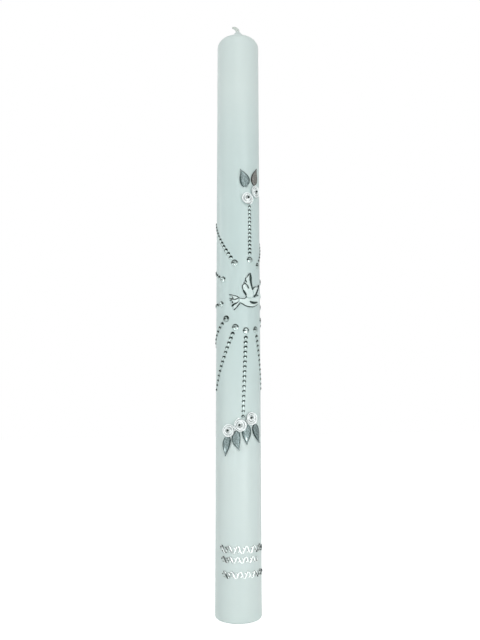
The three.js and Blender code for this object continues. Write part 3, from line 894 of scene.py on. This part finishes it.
def ray(number, place, heading, count, spread):
    around = Vector((math.cos(math.radians(place)), math.sin(math.radians(place))))
    reach = 1 / math.hypot(around.x / (ray_ring_width / 2), around.y / (ray_ring_height / 2))
    start = around * reach + Vector((0, dove_height))
    along = Vector((math.cos(math.radians(heading)), math.sin(math.radians(heading))))
    bm = bmesh.new()
    half_pearl(bm, start, start_pearl_diameter, start_pearl_height, 32, 24)
    darkness = darker_pearl_share if number == darker_pearl else 0
    # Painted reflection: the start pearl gets a dark ring and bar.
    shade_by(bm, "tarnish", lambda at: darkness + start_shade((at.xy - start) * 2 / start_pearl_diameter))
    wrap(bm)
    finish(f"start_pearl_{number}", bm, bead_silver, "silver_wax", f"pearl_{number}")
    beads = ray_beads(start, along, count, spread)
    bm = bmesh.new()
    for middle, diameter in beads:
        half_pearl(bm, middle, diameter, bead_height * diameter / bead_diameter, 20, 16)

    def shade(at):
        middle, diameter = min(beads, key=lambda bead: (bead[0] - at.xy).length)
        return bead_shade((at.xy - middle) * 2 / diameter)

    # Painted reflection: each bead gets a dark arch over its upper half.
    shade_by(bm, "tarnish", shade)
    web = [Vector((*beads[0][0].lerp(beads[-1][0], step / 24), web_width)) for step in range(25)]
    stroke(bm, web, web_thickness)
    wrap(bm)
    finish(f"pearl_strip_{number}", bm, bead_silver, "silver_wax", f"ray_{number}")


bead_silver = silver_material("bead_silver", colour(172, 187, 184), colour(14, 26, 23), 0.2)
for k, (place, heading, count, spread) in enumerate(rays):
    ray(f"{k + 1:02d}", place, heading, count, spread)


# Each rose is a strip of white wax rolled up from the middle, its upper edge turned out like petals,
# pressed onto the candle at its foot. A dark silver bead sits in its middle.
rose_height = 2
rose_cup = 0.7
rose_turns = 2.4
rose_steps = 150
petal_heart = 0.9
petal_reach = rose_diameter / 2 - 1.55
petal_section = [
    (-0.5, 0), (0.5, 0), (0.4, 0.5), (0.3, 0.85), (0.12, 0.98), (-0.12, 1), (-0.3, 0.88), (-0.42, 0.5),
]


def press_on(bm, place):
    """Turns what was drawn with its z pointing out, and presses it onto the candle at a flat place."""
    stand = Matrix.Translation((0, -(candle_radius + glue), place.y)) @ Matrix.Rotation(math.pi / 2, 4, "X")
    bmesh.ops.transform(bm, matrix=Matrix.Rotation(place.x / candle_radius, 4, "Z") @ stand, verts=bm.verts)


def groove_shade(at, start):
    """How deep a place lies between the petals of a rose, as a share of painted grey shade, drawn with its
    heart over the origin.
    """
    turn = math.atan2(at.y, at.x) - start
    gap = 0.42 if at.xy.length < petal_heart else rose_diameter
    for lap in range(-2, 5):
        share = (turn / (2 * math.pi) + lap) / rose_turns
        if 0 <= share <= 1:
            crest = petal_heart + petal_reach * (1 - share) ** 0.9 + 0.65 - 0.45 * share
            gap = min(gap, abs(at.xy.length - crest))
    return (gap - 0.36) / 0.2


def rose(name, place, heart, start):
    bm = bmesh.new()
    cushion = bmesh.ops.create_uvsphere(bm, u_segments=32, v_segments=16, radius=0.9 * rose_diameter / 2)
    bmesh.ops.scale(bm, vec=(1, 1, 0.42 * rose_height / rose_diameter * 2), verts=cushion["verts"])
    bmesh.ops.translate(bm, vec=(0, 0, 0.3 * rose_height), verts=cushion["verts"])
    frames = []
    for step in range(rose_steps + 1):
        share = step / rose_steps
        turn = start + 2 * math.pi * rose_turns * share
        petal = math.sin(2.5 * turn)
        radius = petal_heart + petal_reach * (1 - share) ** 0.9 + 0.12 * abs(petal)
        height = rose_height * (0.5 + 0.43 * share ** 0.75) + 0.14 * abs(petal)
        base = 0.2 + 0.2 * share
        outward = Vector((math.cos(turn), math.sin(turn), 0))
        onward = Vector((-math.sin(turn), math.cos(turn), 0))
        flare = outward * (0.75 - 0.45 * share) + Vector((0, 0, height - base))
        thickness = 0.72 - 0.2 * share
        frames.append(axes(outward * thickness, onward, flare, outward * radius + Vector((0, 0, base))))
    sweep(bm, [Vector((x, 0, z)) for x, z in petal_section], frames)
    # The grey in the grooves between the petals is painted shade.
    shade_by(bm, "groove", lambda at: groove_shade(at, start))
    for corner in bm.verts:
        corner.co.xy += heart * min(1, 1.25 * max(0, 1 - 2 * corner.co.xy.length / rose_diameter))
    press_on(bm, place)
    finish("rolled_rose_" + name, bm, rose_wax, "white_wax", "rose_" + name, crease=50)


def rose_bead(name, place, heart):
    low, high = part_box("rose_bead_" + name)
    radius = (high.z - low.z) / 2 / mm
    bm = bmesh.new()
    bmesh.ops.create_uvsphere(bm, u_segments=24, v_segments=16, radius=radius)
    shade_by(bm, "tarnish", lambda at: 0.7 - 0.6 * at.z / radius)
    bmesh.ops.translate(bm, vec=(*heart, rose_cup + glue + radius), verts=bm.verts)
    press_on(bm, place)
    finish("rose_centre_" + name, bm, dark_silver, "dark_silver", "rose_bead_" + name)


rose_wax = white_wax_material("rose_wax", colour(244, 252, 251), colour(251, 255, 255))
for k, (name, (place, heart)) in enumerate(roses.items()):
    rose(name, place, heart, 1.7 * k)
    rose_bead(name, place, heart)


# The leaves are embossed from silvered wax: a domed blade with a rim, a rib and side veins, its tip curled
# up off the candle and its base tucked under a rose.
leaf_length = 12.6
leaf_edge = 0.35
leaf_crown = 0.8
leaf_curl = 0.55
leaf_fineness = 0.85

# The leaves of a garland, from its middle's height: place of the base, heading, bow to the left, width, and
# how bright the painted glint near the tip is.
garland_leaves = {
    ("lower", lower_garland): [
        (-13.2, -7.1, 263.3, -0.65, 5.3, 1),
        (-7.4, -3.8, 278, -1.25, 5.3, 0.2),
        (-1, 0, 269, -0.1, 5.9, 1),
        (4.6, 0.5, 289, 0, 5.6, 0),
    ],
    ("upper", upper_garland): [
        (-1.6, 1.7, 105.8, -1.1, 7, 0.15),
        (5.1, 4.2, 79.5, 0.2, 5.6, 0.1),
    ],
}


def leaf(name, base, heading, bow, width, painted_glint):
    bm = bmesh.new()
    layer = bm.verts.layers.float.new("tarnish")
    bmesh.ops.create_grid(bm, x_segments=44, y_segments=24, size=0.5)
    top = bmesh.ops.extrude_face_region(bm, geom=bm.faces[:], use_keep_orig=True)["geom"]
    top = {part for part in top if isinstance(part, bmesh.types.BMVert)}
    for corner in bm.verts:
        share = corner.co.x + 0.5
        aside = 2 * corner.co.y
        fineness = leaf_fineness + max(0, share - 0.5)
        half = width / 2 * max(math.sin(math.pi * share ** 0.65) ** fineness, 0.4 - 2 * share, 0.04)
        lift = leaf_curl * max(0, share - 0.6) ** 2 / 0.16
        swell = math.sin(math.pi * share) ** 0.8 * (1 - abs(aside) ** 2.4)
        dome = leaf_edge + (leaf_crown - leaf_edge) * swell
        rim = 0.15 * math.exp(-((1 - abs(aside)) / 0.09) ** 2)
        rib = 0.15 * math.exp(-(aside / 0.1) ** 2) * (1 - share)
        vein_wave = math.sin(2 * math.pi * (7 * share - 1.6 * abs(aside)))
        veins = 0.06 * vein_wave * abs(aside) ** 0.5 * (1 - abs(aside))
        out = lift + dome + rim - rib + veins if corner in top else lift - glue * max(0, 1 - 2 * share)
        # A painted highlight: a bright glint near the tip, drawn as a spot of less darkening.
        glint_share = painted_glint * math.exp(-((share - 0.7) / 0.09) ** 2 - ((aside + 0.22) / 0.2) ** 2)
        rim_shade = 0.25 * max(0, (abs(aside) - 0.7) / 0.2)
        mottling = 0.05 * math.sin(21 * share + 3 * aside) * math.sin(9 * aside)
        corner[layer] = min(max(0.77 + rim_shade + mottling + rib * 0.5 - veins * 1.5, 0), 1) * (1 - glint_share)
        corner.co = Vector((leaf_length * share, bow * math.sin(math.pi * share) + half * aside, out))
    turn = Matrix.Translation((*base, 0)) @ Matrix.Rotation(math.radians(heading), 4, "Z")
    bmesh.ops.transform(bm, matrix=turn, verts=bm.verts)
    wrap(bm)
    silver = browned_silver if name == browned_leaf else leaf_silver
    finish("embossed_" + name, bm, silver, "silver_wax", name, crease=60)


leaf_silver = silver_material("leaf_silver", colour(222, 240, 241), colour(24, 48, 46), 0.32)
browned_silver = silver_material("browned_silver", colour(225, 226, 220), colour(46, 45, 42), 0.32)
browned_leaf = "leaf_upper_2"
for (garland, height), leaves in garland_leaves.items():
    for number, (across, up, heading, bow, width, painted_glint) in enumerate(leaves, 1):
        leaf(f"leaf_{garland}_{number}", (across, height + up), heading, bow, width, painted_glint)


# The line work near the foot is drawn with a thin silver cord: three rows of a running wave, with a hook in
# each hollow, pressed onto the wax.
top_row_height = 0.108 * candle_height
rows = {
    "top": {"start": -19.4, "drop": 0, "length": 33, "wave": 4.2, "waves": 6},
    "middle": {"start": -18, "drop": 6.1, "length": 24.6, "wave": 3.4, "waves": 5},
    "bottom": {"start": -17.2, "drop": 15, "length": 31, "wave": 3.8, "waves": 6},
}
row_line_width = 0.75
row_middle = -3
row_line_thickness = 0.4


def row_shade(at):
    """Painted dark reflection, most at the ends of a row; the cord is also drawn darker toward its base, and
    lighter and darker in patches.
    """
    ends = min(max((abs(at.x - row_middle) - 5) / 5, 0), 1)
    patches = 0.45 * math.sin(3.1 * at.x + 2.3 * at.y)
    return 0.45 + 0.8 * ends + patches - 0.75 * at.z / row_line_thickness


def scroll_row(name, start, drop, length, wave, waves):
    pitch = length / waves
    height = top_row_height - drop
    bm = bmesh.new()
    stem = []
    for step in range(24 * waves + 1):
        share = step / (24 * waves)
        swing = math.sin(2 * math.pi * share * waves)
        width = row_line_width * (1 + 0.25 * math.cos(4 * math.pi * share * waves))
        stem.append(Vector((start + length * share, height + wave / 2 * swing, width)))
    stroke(bm, stem, row_line_thickness)
    for half in range(2 * waves):
        side = 1 if half % 2 == 0 else -1
        middle = start + pitch * (half / 2 + 0.25)
        hook = []
        for step in range(19):
            turn = math.radians(90 - 62 * step / 6)
            reach = 1.02 - 0.15 * step / 6
            width = row_line_width * (1.05 - 0.25 * step / 18)
            across = middle + 0.28 * pitch * reach * math.cos(turn)
            hook.append(Vector((across, height + side * wave / 2 * reach * math.sin(turn), width)))
        stroke(bm, hook, row_line_thickness * 1.05)
    shade_by(bm, "tarnish", row_shade)
    wrap(bm)
    finish("scroll_cord_" + name, bm, line_silver, "silver_wax", "scroll_" + name, crease=60)


line_silver = silver_material("line_silver", colour(240, 247, 245), colour(34, 46, 43), 0.24)
for name, row in rows.items():
    scroll_row(name, **row)
